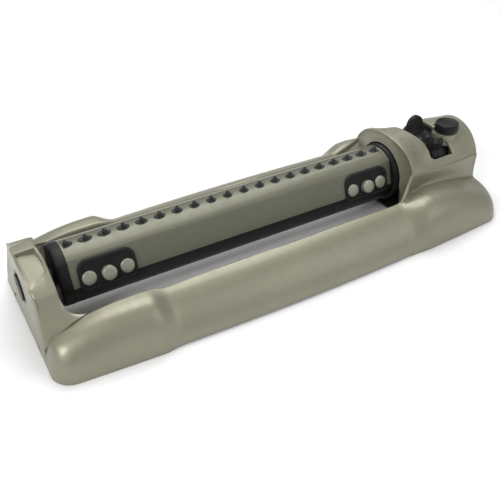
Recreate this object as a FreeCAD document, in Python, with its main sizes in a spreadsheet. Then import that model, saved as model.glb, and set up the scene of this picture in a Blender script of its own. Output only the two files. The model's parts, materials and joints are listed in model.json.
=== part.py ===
"""Oscillating lawn sprinkler: hollow base, swinging spray tube and geared water motor.

+X runs along the spray tube to the hose end, -Y is the button side and +Z is up.
The origin is the centre of the footprint at ground level. Sizes are in millimetres.
"""
import FreeCAD
import Part
import math
import os

V = FreeCAD.Vector
ALONG_X = FreeCAD.Rotation(V(0, 1, 0), 90)

SIZES = (
    ("BaseLength", 484.0, "overall length"),
    ("BaseWidth", 188.0, "overall width at the middle"),
    ("EndNarrowing", 10.0, "how much nearer the sides are at the ends"),
    ("WallThick", 3.0, "moulded wall"),
    ("RailTop", 41.0, "height of the side rails"),
    ("FootRise", 3.6, "how much higher the feet are than the rails"),
    ("AxisHeight", 44.0, "height of the spray tube axis"),
    ("TowerThick", 20.0, "bearing tower along the axis"),
    ("TowerRise", 40.0, "tower top above the axis"),
    ("CoverRadius", 28.5, "arched spray tube cover"),
    ("CoverThick", 2.0, "spray tube cover sheet"),
    ("NozzleCount", 20.0, "nozzles in the row"),
    ("NozzleRadius", 3.0, "nozzle foot"),
    ("ButtonRadius", 6.5, "zone buttons"),
    ("ButtonPitch", 17.0, "distance between zone buttons"),
    ("ButtonTravel", 3.5, "press of a zone button"),
    ("SlideGap", 0.05, "clearance of sliding and turning fits"),
    ("JournalRadius", 8.0, "spray tube journal"),
    ("GearModule", 0.6, "tooth size"),
    ("WheelTeeth", 40.0, "teeth of the large gears"),
    ("PinionTeeth", 16.0, "teeth of the small gears"),
    ("CaseThick", 3.0, "motor case wall"),
    ("TabWidth", 24.0, "range tab along the axis"),
    ("TabReach", 19.0, "range tab above the motor case"),
    ("KnobRadius", 12.5, "flow knob"),
    ("KnobTall", 10.0, "flow knob height"),
    ("HoseRadius", 13.2, "wall of the hose thread"),
    ("NutRadius", 17.5, "hose coupling nut"),
)


def make_sheet(doc):
    sheet = doc.addObject("Spreadsheet::Sheet", "Sizes")
    for row, (alias, value, note) in enumerate(SIZES, start=1):
        sheet.set("A%d" % row, str(value))
        sheet.setAlias("A%d" % row, alias)
        sheet.set("B%d" % row, note)
    doc.recompute()
    return sheet


class Layout:
    """Sizes from the sheet and the stations that follow from them."""

    def __init__(self, sheet):
        for alias, _, _ in SIZES:
            setattr(self, alias, float(sheet.get(alias)))
        self.end = self.BaseLength / 2
        self.side = self.BaseWidth / 2
        self.foot_top = self.RailTop + self.FootRise
        self.gap_half = self.side - 39
        self.tower_in = -self.end + self.TowerThick
        self.tube_start = -self.end + 40
        self.tube_end = self.end - 106.5
        self.cap_start = self.tower_in + 5
        self.collar = self.end - 101.5
        self.hub_radius = self.CoverRadius + 1.5
        self.centres = self.GearModule * (self.WheelTeeth + self.PinionTeeth) / 2
        self.case_in = self.centres + self.GearModule * (self.WheelTeeth / 2 + 1) + 0.6
        self.case_out = self.case_in + self.CaseThick
        self.case_start = self.collar + 17.5
        self.case_end = self.case_start + 43
        self.ring_top = self.case_out + 2
        self.dome_out = self.case_out + 8
        self.dome_in = self.dome_out - self.WallThick
        self.ledge = self.AxisHeight + 10
        self.seat_floor = self.AxisHeight + self.case_out + 0.2
        self.knob_base = self.case_out + 3.0
        self.slot_mid = self.case_start + 24.8
        self.slot_half = 15.5
        self.knob_x = self.end - 31.5
        self.knob_y = -16.0
        self.nozzle_first = self.tube_start + 6.5
        self.nozzle_step = (self.tube_end - 8 - self.nozzle_first) / (self.NozzleCount - 1)
        self.pod_left = self.tube_start + 31.5
        self.pod_right = self.tube_end - 32.5
        self.pod_half = self.ButtonPitch + self.ButtonRadius + 2


def bind(obj, pairs):
    for prop, text in pairs:
        obj.setExpression(prop, text)
    return obj


def feature(doc, name, shape):
    obj = doc.addObject("Part::Feature", name)
    obj.Shape = shape
    return obj


def prism_x(points, x0, x1):
    """Closed outline of (y, z) points carried from x0 to x1."""
    wire = Part.makePolygon([V(x0, y, z) for y, z in points] + [V(x0, points[0][0], points[0][1])])
    return Part.Face(wire).extrude(V(x1 - x0, 0, 0))


def prism_y(points, y0, y1):
    """Closed outline of (x, z) points carried from y0 to y1."""
    wire = Part.makePolygon([V(x, y0, z) for x, z in points] + [V(points[0][0], y0, points[0][1])])
    return Part.Face(wire).extrude(V(0, y1 - y0, 0))


def rod(s, radius, x0, x1, drop=0.0):
    """Cylinder along X on the tube axis, or that much below it."""
    return Part.makeCylinder(radius, x1 - x0, V(x0, 0, s.AxisHeight - drop), V(1, 0, 0))


def box(x0, x1, y0, y1, z0, z1):
    return Part.makeBox(x1 - x0, y1 - y0, z1 - z0, V(x0, y0, z0))


def mirrored(points):
    """Half outline with positive y, from the top middle down, made whole."""
    return list(points) + [(-y, z) for y, z in reversed(points)]


def arc_points(radius, z_mid, start, stop, count):
    """Points on an arc about (0, z_mid), with angles from straight up, in degrees."""
    turns = [math.radians(start + (stop - start) * i / (count - 1)) for i in range(count)]
    return [(radius * math.sin(t), z_mid + radius * math.cos(t)) for t in turns]


def sector(s, radius, start, stop, x0, x1):
    """Pie slice about the tube axis, angles from straight up towards -Y."""
    fan = [(0.0, s.AxisHeight)]
    steps = 8
    for i in range(steps + 1):
        t = math.radians(start + (stop - start) * i / steps)
        fan.append((-radius * math.sin(t), s.AxisHeight + radius * math.cos(t)))
    return prism_x(fan, x0, x1)


def upright_edges(solid):
    """Edges that run straight up."""
    chosen = []
    for edge in solid.Edges:
        if len(edge.Vertexes) != 2:
            continue
        run = edge.Vertexes[1].Point - edge.Vertexes[0].Point
        if abs(run.x) < 1e-6 and abs(run.y) < 1e-6:
            chosen.append(edge)
    return chosen


# ---------------------------------------------------------------- base

def plan_block(s, inset, top):
    """Footprint with bowed sides and rounded corners, inset all round."""
    half = s.end - inset
    wide = s.side - inset
    narrow = wide - s.EndNarrowing
    near = Part.Arc(V(-half, -narrow, 0), V(0, -wide, 0), V(half, -narrow, 0)).toShape()
    right = Part.makeLine(V(half, -narrow, 0), V(half, narrow, 0))
    far = Part.Arc(V(half, narrow, 0), V(0, wide, 0), V(-half, narrow, 0)).toShape()
    left = Part.makeLine(V(-half, narrow, 0), V(-half, -narrow, 0))
    block = Part.Face(Part.Wire([near, right, far, left])).extrude(V(0, 0, top))
    return block.makeFillet(20 - inset, upright_edges(block))


def rail_section(s, inset, top):
    """Cross profile with big round shoulders."""
    flat = s.side - 25 - inset
    knee = s.side - 8 - inset
    low = s.side - inset
    half = Part.Arc(V(0, flat, top), V(0, knee, top - 13.5), V(0, low, 3))
    other = Part.Arc(V(0, -low, 3), V(0, -knee, top - 13.5), V(0, -flat, top))
    edges = [half.toShape(),
             Part.makeLine(V(0, low, 3), V(0, low, 0)),
             Part.makeLine(V(0, low, 0), V(0, -low, 0)),
             Part.makeLine(V(0, -low, 0), V(0, -low, 3)),
             other.toShape(),
             Part.makeLine(V(0, -flat, top), V(0, flat, top))]
    return Part.Face(Part.Wire(edges))


def rail_bar(s, inset, top, x0, x1):
    face = rail_section(s, inset, top)
    face.translate(V(x0, 0, 0))
    return face.extrude(V(x1 - x0, 0, 0))


def end_slope(s, inset, top):
    """Side profile that rounds both ends down."""
    end = s.end - inset
    half = [(end - 44, top), (end - 30, top - 3.2), (end - 18, top - 8.5),
            (end - 8, top - 17), (end - 2, top - 27), (end, 6)]
    outline = half + [(end, 0), (-end, 0)] + [(-x, z) for x, z in reversed(half)]
    return prism_y(outline, -s.side - 1, s.side + 1)


def hull_block(s, inset):
    """Whole outside of the base without tower and gear housing."""
    top = s.foot_top - inset
    low = s.RailTop - inset
    bars = rail_bar(s, inset, low, -s.end, s.end)
    ramp = 16.0
    for x0, x1, ramp_end in ((-s.end, -s.end + 87, 1), (s.end - 121, s.end, -1)):
        bar = rail_bar(s, inset, top, x0, x1)
        lean = x1 if ramp_end > 0 else x0
        wedge = prism_y([(lean, top + 1), (lean, low - 0.01),
                         (lean - ramp * ramp_end, top + 1)], -s.side - 1, s.side + 1)
        bars = bars.fuse(bar.cut(wedge))
    return bars.common(plan_block(s, inset, s.foot_top + 1)).common(end_slope(s, inset, top))


def gap_prism(s, grow, z0, z1):
    """Opening round the spray tube, with rounded corners."""
    half = s.gap_half + grow
    block = box(s.tower_in - grow, s.collar + grow, -half, half, z0, z1)
    return block.makeFillet(27 + grow, upright_edges(block))


def tower_outline(s, inset):
    top = s.AxisHeight + s.TowerRise - inset
    return mirrored([(7.0, top), (43 - inset, top - 24), (55 - inset, s.foot_top - 4),
                     (60 - inset, 12.0)])


def make_tower(s):
    """Bearing tower with its bearing boss, still without the through hole."""
    tower = prism_x(tower_outline(s, 0), -s.end, s.tower_in)
    hollow = prism_x(tower_outline(s, s.WallThick), -s.end + s.WallThick, s.tower_in - s.WallThick)
    tower = tower.cut(hollow)
    boss = rod(s, s.JournalRadius + 7, -s.end + s.WallThick, s.tower_in - s.WallThick)
    panel = box(-s.end - 1, -s.end + 0.8, -30, 30, s.foot_top + 6, s.AxisHeight + 30)
    recess = rod(s, s.JournalRadius + 5.5, -s.end - 1, -s.end + s.WallThick)
    seat = rod(s, s.JournalRadius + 4.02, -s.end - 1, s.tower_in + 1)
    return tower.fuse(boss).cut(panel).cut(recess).cut(seat)


def collar_outline(s):
    axis = s.AxisHeight
    shift = s.dome_out - 41
    crown = arc_points(s.dome_out + 0.3, axis, 0, 40, 7)
    flank = [(41 + shift, axis + 20.4 + shift / 2), (46 + shift, axis + 13),
             (58 + shift, s.RailTop - 4), (58 + shift, 14.0)]
    return mirrored(crown[1:] + flank)


def make_collar(s):
    """Upright ring face in front of the gear housing, flared into the rails."""
    plate = prism_x(collar_outline(s), s.collar, s.collar + s.WallThick)
    shift = s.dome_out - 41
    for sign in (-1, 1):
        tip = [V(s.collar + 3, sign * (46 + shift), s.AxisHeight + 13),
               V(s.collar + 3, sign * (58 + shift), s.RailTop - 4),
               V(s.collar - 15, sign * (58 + shift), s.RailTop - 4),
               V(s.collar + 3, sign * (45 + shift), s.RailTop - 4)]
        faces = [Part.Face(Part.makePolygon([tip[i] for i in order] + [tip[order[0]]]))
                 for order in ((0, 1, 2), (0, 2, 3), (0, 3, 1), (1, 3, 2))]
        plate = plate.fuse(Part.makeSolid(Part.makeShell(faces)))
    return plate.cut(rod(s, s.CoverRadius + 3, s.collar - 1, s.collar + 4))


def make_housing_walls(s):
    """Side walls, end wall and saddles under the arched cover."""
    out = s.dome_out - 1
    inner = out - s.WallThick
    x0 = s.collar + s.WallThick
    walls = box(x0, s.end, -out, out, 5.5, s.ledge)
    walls = walls.cut(box(x0, s.end - s.WallThick, -inner, inner, 5, s.ledge + 1))
    walls = walls.cut(rod(s, s.NutRadius + 4, s.end - 4, s.end + 1))
    for x, radius in ((s.case_start + 2, s.case_out), (s.case_end - 5, s.case_out),
                      (s.case_end + 17.3, 18.0)):
        saddle = box(x, x + 3.5, -inner, inner, 5.5, s.AxisHeight)
        walls = walls.fuse(saddle.cut(rod(s, radius + 0.02, x - 1, x + 5)))
    return walls


def plate_corners(s):
    return [(x, y) for x in (s.collar + 14, s.end - 24) for y in (-s.gap_half + 3, s.gap_half - 3)]


def make_base(doc, s):
    """Hollow base: bowed rails, feet, bearing tower, collar and gear housing walls."""
    outer = hull_block(s, 0)
    shell = outer.cut(hull_block(s, s.WallThick))
    flange = gap_prism(s, s.WallThick, 10, s.foot_top).common(outer)
    shell = shell.fuse(flange).cut(gap_prism(s, 0, -1, s.foot_top + 60))
    inner = s.dome_out - 1 - s.WallThick
    shell = shell.cut(box(s.collar + s.WallThick, s.end - s.WallThick, -inner, inner, 5, 90))
    shell = shell.cut(box(-s.end + 95.5, s.end - 125.5, -s.side - 1, s.side + 1, -1, 2.6))
    shell = shell.fuse([make_tower(s), make_collar(s), make_housing_walls(s)])
    for x, y in plate_corners(s):
        boss = Part.makeCylinder(4, s.foot_top, V(x, y, 5.5)).common(outer)
        shell = shell.fuse(boss)
        shell = shell.cut(Part.makeCylinder(1.5, 12, V(x, y, 5.0)))
    shell = shell.cut(rod(s, s.JournalRadius + 4.02, -s.end - 1, s.tower_in + 1))
    shell = shell.cut(rod(s, s.CoverRadius + 3, s.collar - 1, s.collar + 4))
    return feature(doc, "base_shell", shell.removeSplitter())


def make_bottom_plate(doc, s):
    """Plate that closes the gear housing from below, with screw holes."""
    blank = doc.addObject("Part::Box", "PlateBlank")
    bind(blank, (("Length", "91 mm"), ("Height", "(Sizes.WallThick - 0.5) * 1 mm"),
                 ("Width", "(Sizes.BaseWidth - 74) * 1 mm")))
    blank.Placement.Base = V(s.collar + 4.5, -(s.BaseWidth - 74) / 2, 3)
    drills = []
    for i, (x, y) in enumerate(plate_corners(s)):
        drill = doc.addObject("Part::Cylinder", "PlateDrill%d" % i)
        drill.Radius = 1.7
        drill.Height = 6
        drill.Placement.Base = V(x, y, 1)
        drills.append(drill)
    well = rod(s, s.ring_top + 0.5, s.slot_mid - s.slot_half, s.slot_mid + s.slot_half)
    well = well.fuse(rod(s, s.case_out + 0.5, s.case_start - 1, s.case_end + 1))
    drills.append(feature(doc, "GearWell", well))
    group = doc.addObject("Part::MultiFuse", "PlateDrills")
    group.Shapes = drills
    plate = doc.addObject("Part::Cut", "bottom_plate")
    plate.Base = blank
    plate.Tool = group
    return plate


def make_plate_screws(doc, s):
    screws = []
    for x, y in plate_corners(s):
        head = Part.makeCylinder(3.2, 2, V(x, y, 1))
        slot = box(x - 4, x + 4, y - 0.4, y + 0.4, 0.5, 1.8)
        screws.append(head.cut(slot).fuse(Part.makeCylinder(1.45, 11, V(x, y, 3))))
    return feature(doc, "plate_screws", Part.makeCompound(screws))


def dome_ring(s, grow_out, grow_in, x0, x1):
    return rod(s, s.dome_out + grow_out, x0, x1).cut(rod(s, s.dome_in + grow_in, x0 - 1, x1 + 1))


def make_gear_cover(doc, s):
    """Arched cover with the range slot and the flow knob's hole."""
    x0 = s.collar + s.WallThick
    bend = s.end - 30
    tip = s.dome_out - 4.5
    outer = rod(s, s.dome_out, x0, bend)
    nose = Part.makeCone(s.dome_out, tip, s.end - bend, V(bend, 0, s.AxisHeight), V(1, 0, 0))
    hollow = rod(s, s.dome_in, x0 - 1, bend)
    hollow_nose = Part.makeCone(s.dome_in, tip - s.WallThick, s.end - bend,
                                V(bend, 0, s.AxisHeight), V(1, 0, 0))
    cover = outer.fuse(nose).cut(hollow.fuse(hollow_nose))
    half = s.dome_out - 1
    cover = cover.common(box(x0, s.end, -half, half, s.ledge, s.AxisHeight + s.dome_out + 1))
    left = s.slot_mid - s.slot_half
    right = s.slot_mid + s.slot_half
    rim = dome_ring(s, -2, -1.4, left - 2.5, right + 2.5)
    rim = rim.common(sector(s, s.dome_out + 9, -67, 65, left - 2.5, right + 2.5))
    slot = sector(s, s.dome_out + 9, -64, 62, left, right)
    seat = Part.makeCylinder(s.KnobRadius + 2, 20, V(s.knob_x, s.knob_y, s.seat_floor))
    solid_dome = rod(s, s.dome_out - 0.5, x0, s.end - 15)
    cover = cover.fuse([rim, seat.common(solid_dome)]).cut(slot)
    pocket = Part.makeCylinder(s.KnobRadius + 0.6, 20, V(s.knob_x, s.knob_y, s.seat_floor + 2.5))
    cover = cover.cut(pocket)
    cover = cover.common(box(x0, s.end, -half, half, s.ledge, s.AxisHeight + s.dome_out + 1))
    stem = Part.makeCylinder(3 + s.SlideGap, 40, V(s.knob_x, s.knob_y, s.ledge + 2))
    return feature(doc, "gear_cover", cover.cut(stem).removeSplitter())


def make_bearing_bush(doc, s):
    out = s.JournalRadius + 4
    bush = rod(s, out, -s.end + 3.5, s.tower_in)
    bush = bush.fuse(rod(s, out + 2, s.tower_in, s.tower_in + 2.4))
    bore = rod(s, s.JournalRadius + s.SlideGap, -s.end, s.tower_in + 3)
    return feature(doc, "bearing_bush", bush.cut(bore))


# ---------------------------------------------------------------- motor

def make_motor_case(doc, s):
    """Round case of the water motor; the range rings ride on its outside."""
    case = rod(s, s.case_out, s.case_start, s.case_end)
    case = case.cut(rod(s, s.case_in, s.case_start + s.CaseThick, s.case_end + 1))
    case = case.cut(rod(s, s.JournalRadius - 1 + s.SlideGap, s.case_start - 1, s.case_end))
    return feature(doc, "motor_case", case)


def make_lay_pin(doc, s):
    """Fixed pin that the intermediate gear turns on."""
    pin = doc.addObject("Part::Cylinder", "lay_pin")
    pin.Placement = FreeCAD.Placement(V(s.case_start + 3, 0, s.AxisHeight - s.centres), ALONG_X)
    pin.Radius = 1.5
    bind(pin, (("Height", "30 mm"),))
    return pin


def make_gear_plate(doc, s):
    """Disc between gears and turbine, with the lay pin's seat and water ports."""
    x0 = s.case_start + 31.5
    disc = rod(s, s.case_in - 0.02, x0, x0 + 2)
    disc = disc.cut(rod(s, 1.5 + s.SlideGap, x0 - 1, x0 + 3))
    disc = disc.cut(rod(s, 1.52, x0 - 1, x0 + 3, s.centres))
    for i in range(4):
        t = math.radians(20 + 46.6 * i)
        y = 20 * math.cos(t)
        z = s.AxisHeight + 20 * math.sin(t)
        disc = disc.cut(Part.makeCylinder(3.5, 4, V(x0 - 1, y, z), V(1, 0, 0)))
    return feature(doc, "gear_plate", disc)


def make_motor_lid(doc, s):
    """Lid with a ring of jets that drive the turbine."""
    x0 = s.case_end
    lid = rod(s, s.case_out, x0, x0 + 3)
    lid = lid.cut(rod(s, 1.5 + s.SlideGap, x0 - 1, x0 + 1.5))
    for i in range(6):
        t = math.radians(60 * i)
        y = 8 * math.cos(t)
        z = s.AxisHeight + 8 * math.sin(t)
        lid = lid.cut(Part.makeCylinder(1.5, 5, V(x0 - 1, y, z), V(1, 0, 0)))
    return feature(doc, "motor_lid", lid)


def gear_outline(module, teeth, phase):
    """Involute spur gear outline in a plane, as (y, z) about the centre."""
    pressure = math.radians(25)
    pitch = module * teeth / 2
    base = pitch * math.cos(pressure)
    tip = pitch + 0.9 * module
    root = pitch - 1.2 * module
    slack = 0.06
    involute = math.tan(pressure) - pressure
    half_base = math.pi / (2 * teeth) + involute - slack / pitch
    start = max(base, root + 0.05)
    radii = [start + (tip - start) * i / 4 for i in range(5)]
    flank = []
    for radius in radii:
        roll = math.acos(min(1.0, base / radius))
        flank.append((radius, half_base - (math.tan(roll) - roll)))
    points = []
    for tooth in range(teeth):
        mid = phase + 2 * math.pi * tooth / teeth
        points.append((root, mid - flank[0][1] - 0.02))
        points += [(r, mid - a) for r, a in flank]
        points += [(r, mid + a) for r, a in reversed(flank)]
        points.append((root, mid + flank[0][1] + 0.02))
    return [(r * math.cos(t), r * math.sin(t)) for r, t in points]


def gear(s, teeth, phase, x0, x1, drop=0.0):
    z_mid = s.AxisHeight - drop
    outline = [(y, z_mid + z) for y, z in gear_outline(s.GearModule, int(teeth), phase)]
    return prism_x(outline, x0, x1)


def make_lay_gear(doc, s):
    """Intermediate gear on the lay pin."""
    x0 = s.case_start + 7.5
    half_tooth = math.pi / s.PinionTeeth
    small = gear(s, s.PinionTeeth, math.pi / 2 + half_tooth, x0, x0 + 6, s.centres)
    hub = rod(s, 3, x0 + 6, x0 + 18, s.centres)
    big = gear(s, s.WheelTeeth, math.pi / 2, x0 + 18, x0 + 22, s.centres)
    bore = rod(s, 1.5 + s.SlideGap, x0 - 1, x0 + 23, s.centres)
    return feature(doc, "lay_gear", small.fuse([hub, big]).cut(bore))


def make_turbine(doc, s):
    """Water wheel with its shaft and pinion."""
    x0 = s.case_start + 25
    half_tooth = math.pi / s.PinionTeeth
    shaft = rod(s, 1.5, x0 - 3, s.case_end + 1.2)
    pinion = gear(s, s.PinionTeeth, -math.pi / 2 + half_tooth, x0, x0 + 5.5)
    disc = rod(s, 6, s.case_end - 9, s.case_end - 2)
    blades = []
    for i in range(10):
        blade = box(s.case_end - 9, s.case_end - 2, -0.6, 0.6,
                    s.AxisHeight + 5.5, s.AxisHeight + 13)
        blade.rotate(V(0, 0, s.AxisHeight), V(1, 0, 0), 36 * i)
        blades.append(blade)
    wheel = disc.fuse(blades).fuse([shaft, pinion])
    return feature(doc, "turbine", wheel.removeSplitter())


def range_tab(doc, s, name, ring_x0, angle):
    """Spring ring round the motor case with a thumb fin that leans forward by the angle."""
    ring = rod(s, s.ring_top, ring_x0, ring_x0 + 9.5)
    ring = ring.cut(rod(s, s.case_out + s.SlideGap, ring_x0 - 1, ring_x0 + 11))
    low = s.AxisHeight + s.ring_top + 0.4
    half = s.TabWidth / 2
    top = s.AxisHeight + s.case_out + s.TabReach
    plate = box(s.slot_mid - half, s.slot_mid + half, -2.2, 2.2, low, top - half)
    crown = Part.makeCylinder(half, 4.4, V(s.slot_mid, -2.2, top - half), V(0, 1, 0))
    crown = crown.common(box(s.slot_mid - half, s.slot_mid + half, -3, 3, low, top + 1))
    foot = box(ring_x0, ring_x0 + 9.5, -4, 4, low - 1.6, low + 2)
    fin = plate.fuse([crown, foot])
    fin.rotate(V(0, 0, s.AxisHeight), V(1, 0, 0), angle)
    return feature(doc, name, ring.fuse(fin).removeSplitter())


def make_valve_body(doc, s):
    """Inlet chamber with the flow valve's pocket and the hose spigot."""
    x0 = s.case_end + 3
    tip = s.end - 11.7
    body = rod(s, 18, x0, x0 + 18).fuse(rod(s, s.HoseRadius - 3.2, x0 + 18, tip))
    body = body.fuse(rod(s, s.HoseRadius - 0.9, tip - 2, tip))
    top = s.AxisHeight + 22
    boss = Part.makeCylinder(8, top - s.AxisHeight + 4, V(s.knob_x, s.knob_y, s.AxisHeight - 4))
    body = body.fuse(boss.common(box(x0, x0 + 20, -40, 0, 0, 90)))
    body = body.cut(rod(s, 7.5, x0, tip + 1))
    body = body.cut(Part.makeCylinder(5 + s.SlideGap, 30, V(s.knob_x, s.knob_y, s.AxisHeight)))
    port = Part.makeCylinder(2.5, 12, V(s.knob_x, s.knob_y, s.AxisHeight + 4), V(0, 1, 0))
    return feature(doc, "valve_body", body.cut(port).removeSplitter())


def make_coupling_nut(doc, s):
    """Swivel nut that takes the hose end, with grip ribs."""
    x0 = s.end - 17.5
    x1 = s.end - 1
    nut = rod(s, s.NutRadius - 1.2, x0, x1)
    for i in range(12):
        t = math.radians(30 * i)
        centre = V(x0 + 1, (s.NutRadius - 1.8) * math.cos(t),
                   s.AxisHeight + (s.NutRadius - 1.8) * math.sin(t))
        nut = nut.fuse(Part.makeCylinder(1.8, x1 - x0 - 2, centre, V(1, 0, 0)))
    nut = nut.cut(rod(s, s.HoseRadius + 0.4, s.end - 13.9, s.end - 9.1))
    nut = nut.cut(rod(s, s.HoseRadius, s.end - 9.2, s.end))
    nut = nut.cut(rod(s, s.HoseRadius - 3.2 + s.SlideGap, x0 - 1, s.end))
    return feature(doc, "coupling_nut", nut.removeSplitter())


def make_hose_washer(doc, s):
    x0 = s.end - 11.7
    ring = rod(s, s.HoseRadius - 0.4, x0, x0 + 2.4).cut(rod(s, 8.2, x0 - 1, x0 + 3))
    return feature(doc, "hose_washer", ring)


def make_inlet_filter(doc, s):
    """Screen disc seated in the spigot's mouth."""
    x0 = s.end - 12.9
    disc = rod(s, 7.45, x0, x0 + 1.2)
    for j in range(-2, 3):
        for k in range(-2, 3):
            if j * j + k * k > 6:
                continue
            hole = Part.makeCylinder(0.9, 3, V(x0 - 1, 2.6 * j, s.AxisHeight + 2.6 * k), V(1, 0, 0))
            disc = disc.cut(hole)
    return feature(doc, "inlet_filter", disc)


def make_flow_knob(doc, s):
    """Ribbed knob on a turned stem that ends in the valve plug."""
    body = doc.addObject("PartDesign::Body", "flow_knob")
    plane = [f for f in body.Origin.OriginFeatures if f.Role == "XZ_Plane"][0]
    sketch = body.newObject("Sketcher::SketchObject", "KnobProfile")
    sketch.AttachmentSupport = [(plane, "")]
    sketch.MapMode = "FlatFace"
    radius = s.KnobRadius
    base = s.knob_base
    outline = [(0, 2), (5, 2), (5, 12), (3, 13), (3, base), (radius - 1.4, base),
               (radius - 0.6, base + 0.8), (radius - 0.8, base + s.KnobTall - 1.2),
               (radius - 2.4, base + s.KnobTall), (0, base + s.KnobTall)]
    for i, point in enumerate(outline):
        follow = outline[(i + 1) % len(outline)]
        line = Part.LineSegment(V(point[0], point[1], 0), V(follow[0], follow[1], 0))
        sketch.addGeometry(line)
    turned = body.newObject("PartDesign::Revolution", "KnobTurned")
    turned.Profile = sketch
    turned.ReferenceAxis = (sketch, ["V_Axis"])
    turned.Angle = 360
    body.Tip = turned
    body.Placement.Base = V(s.knob_x, s.knob_y, s.AxisHeight)
    doc.recompute()
    ribs = []
    for i in range(20):
        t = math.radians(18 * i)
        at = V(s.knob_x + (radius - 1.1) * math.cos(t), s.knob_y + (radius - 1.1) * math.sin(t),
               s.AxisHeight + base + 0.6)
        ribs.append(Part.makeCylinder(1.1, s.KnobTall - 2.2, at))
    knob = feature(doc, "KnobWhole", body.Shape.fuse(ribs).removeSplitter())
    body.Label = "KnobBlank"
    knob.Label = "flow_knob"
    return knob


# ---------------------------------------------------------------- spray tube

def cover_outline(s, inset):
    """Arched section of the tube cover, from one lower edge over to the other."""
    axis = s.AxisHeight
    k = s.CoverRadius / 28.5
    crown = arc_points(s.CoverRadius - inset, axis, 0, 37, 6)[1:]
    flank = [(23.5 * k - inset * 1.05, axis + 9 * k), (25.3 * k - inset, axis - 1.0)]
    return mirrored(crown + flank)


def make_tube_cover(doc, s, pods):
    """Bent sheet cover with the nozzle holes and the button windows."""
    sheet = prism_x(cover_outline(s, 0), s.tube_start, s.tube_end)
    sheet = sheet.cut(prism_x(cover_outline(s, s.CoverThick), s.tube_start - 1, s.tube_end + 1))
    sheet = sheet.cut(box(s.tube_start - 1, s.tube_end + 1, -24, 24,
                          s.AxisHeight - 3, s.AxisHeight - 0.999))
    crest = s.AxisHeight + s.CoverRadius
    first = s.nozzle_first
    last = s.tube_end - 8
    strip = box(first - 1, last + 1, -8, 8, crest - 0.9, crest + 2)
    sheet = sheet.cut(strip)
    for i in range(int(s.NozzleCount)):
        sheet = sheet.cut(Part.makeCylinder(s.NozzleRadius + 0.9, 8,
                                            V(first + s.nozzle_step * i, 0, crest - 5)))
    for pod in pods:
        sheet = sheet.cut(pod_block(s, pod, 0.02, -12, 6))
    return feature(doc, "tube_cover", sheet.removeSplitter())


def trough_outline(s, inset):
    k = s.CoverRadius / 28.5
    axis = s.AxisHeight
    top = axis - 1.02 - (inset > 0) * 2.0
    return mirrored([(25.2 * k - inset, top), (24.2 * k - inset, axis - 10 * k),
                     (17.5 * k - inset * 0.7, axis - 20 * k + inset * 0.7),
                     (9 * k - inset * 0.4, axis - 24.8 * k + inset)])


def make_tube_body(doc, s, pods):
    """Lower half of the tube with the water channel and the nozzle rail."""
    x0 = s.tube_start
    x1 = s.tube_end
    trough = prism_x(trough_outline(s, 0), x0, x1)
    trough = trough.cut(prism_x(trough_outline(s, 2.2), x0 + 2.5, x1 - 2.5))
    rail_top = s.AxisHeight + s.CoverRadius - s.CoverThick - 3.2
    channel = rod(s, s.JournalRadius + 2.5, x0, x1)
    rail = box(x0 + 1, x1 - 1, -5.5, 5.5, s.AxisHeight, rail_top)
    web = box(x0, x1, -1.5, 1.5, s.AxisHeight - 23 * s.CoverRadius / 28.5, s.AxisHeight)
    body = trough.fuse([channel, rail, web])
    body = body.cut(rod(s, s.JournalRadius + 0.02, x0 - 1, x1 + 1))
    for i in range(int(s.NozzleCount)):
        x = s.nozzle_first + s.nozzle_step * i
        body = body.cut(Part.makeCylinder(1.2, rail_top - s.AxisHeight + 1, V(x, 0, s.AxisHeight)))
    for pod in pods:
        body = body.cut(pod_block(s, pod, 0.3, -12.5, 8))
    return feature(doc, "tube_body", body.removeSplitter())


def make_nozzle_strip(doc, s):
    """Soft strip under the cover that carries the jets."""
    crest = s.AxisHeight + s.CoverRadius - s.CoverThick
    strip = box(s.nozzle_first - 4, s.tube_end - 4, -5.5, 5.5, crest - 3.2, crest - 1.2)
    for i in range(int(s.NozzleCount)):
        x = s.nozzle_first + s.nozzle_step * i
        strip = strip.cut(Part.makeCylinder(1.2, 6, V(x, 0, crest - 5)))
    return feature(doc, "nozzle_strip", strip)


def make_nozzles(doc, s):
    """Turned conical jets with a blind orifice."""
    low = s.AxisHeight + s.CoverRadius - s.CoverThick - 1.2
    wide = s.NozzleRadius
    profile = [(0, 0), (wide, 0), (wide, 1.2), (wide * 0.78, 1.2), (wide * 0.55, 5.0),
               (0.6, 5.0), (0.6, 2.5), (0, 2.5)]
    jets = []
    for i in range(int(s.NozzleCount)):
        x = s.nozzle_first + s.nozzle_step * i
        corners = [V(x + r, 0, low + z) for r, z in profile]
        face = Part.Face(Part.makePolygon(corners + [corners[0]]))
        jets.append(face.revolve(V(x, 0, low), V(0, 0, 1), 360))
    return feature(doc, "nozzles", Part.makeCompound(jets))


def whole_outline(s, grow):
    """Closed section of cover and trough together."""
    k = s.CoverRadius / 28.5
    axis = s.AxisHeight
    crown = arc_points(s.CoverRadius + grow, axis, 0, 37, 6)[1:]
    rest = [(23.5 * k + grow, axis + 9 * k), (25.3 * k + grow, axis - 1.0),
            (24.2 * k + grow, axis - 10 * k), (17.5 * k + grow * 0.7, axis - 20 * k - grow * 0.7),
            (9 * k, axis - 24.8 * k - grow)]
    return mirrored(crown + rest)


def make_end_cap(doc, s):
    """Cap on the tower end of the tube."""
    cap = prism_x(whole_outline(s, 0.8), s.cap_start, s.tube_start - 0.2)
    cap = cap.cut(rod(s, s.JournalRadius + 0.02, s.cap_start - 1, s.tube_start + 1))
    return feature(doc, "end_cap", cap)


def make_journal_left(doc, s):
    journal = rod(s, s.JournalRadius, -s.end + 3.2, s.tube_start + 12)
    return feature(doc, "journal_tower", journal.cut(rod(s, 5.02, -s.end, s.tube_start + 13)))


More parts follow.
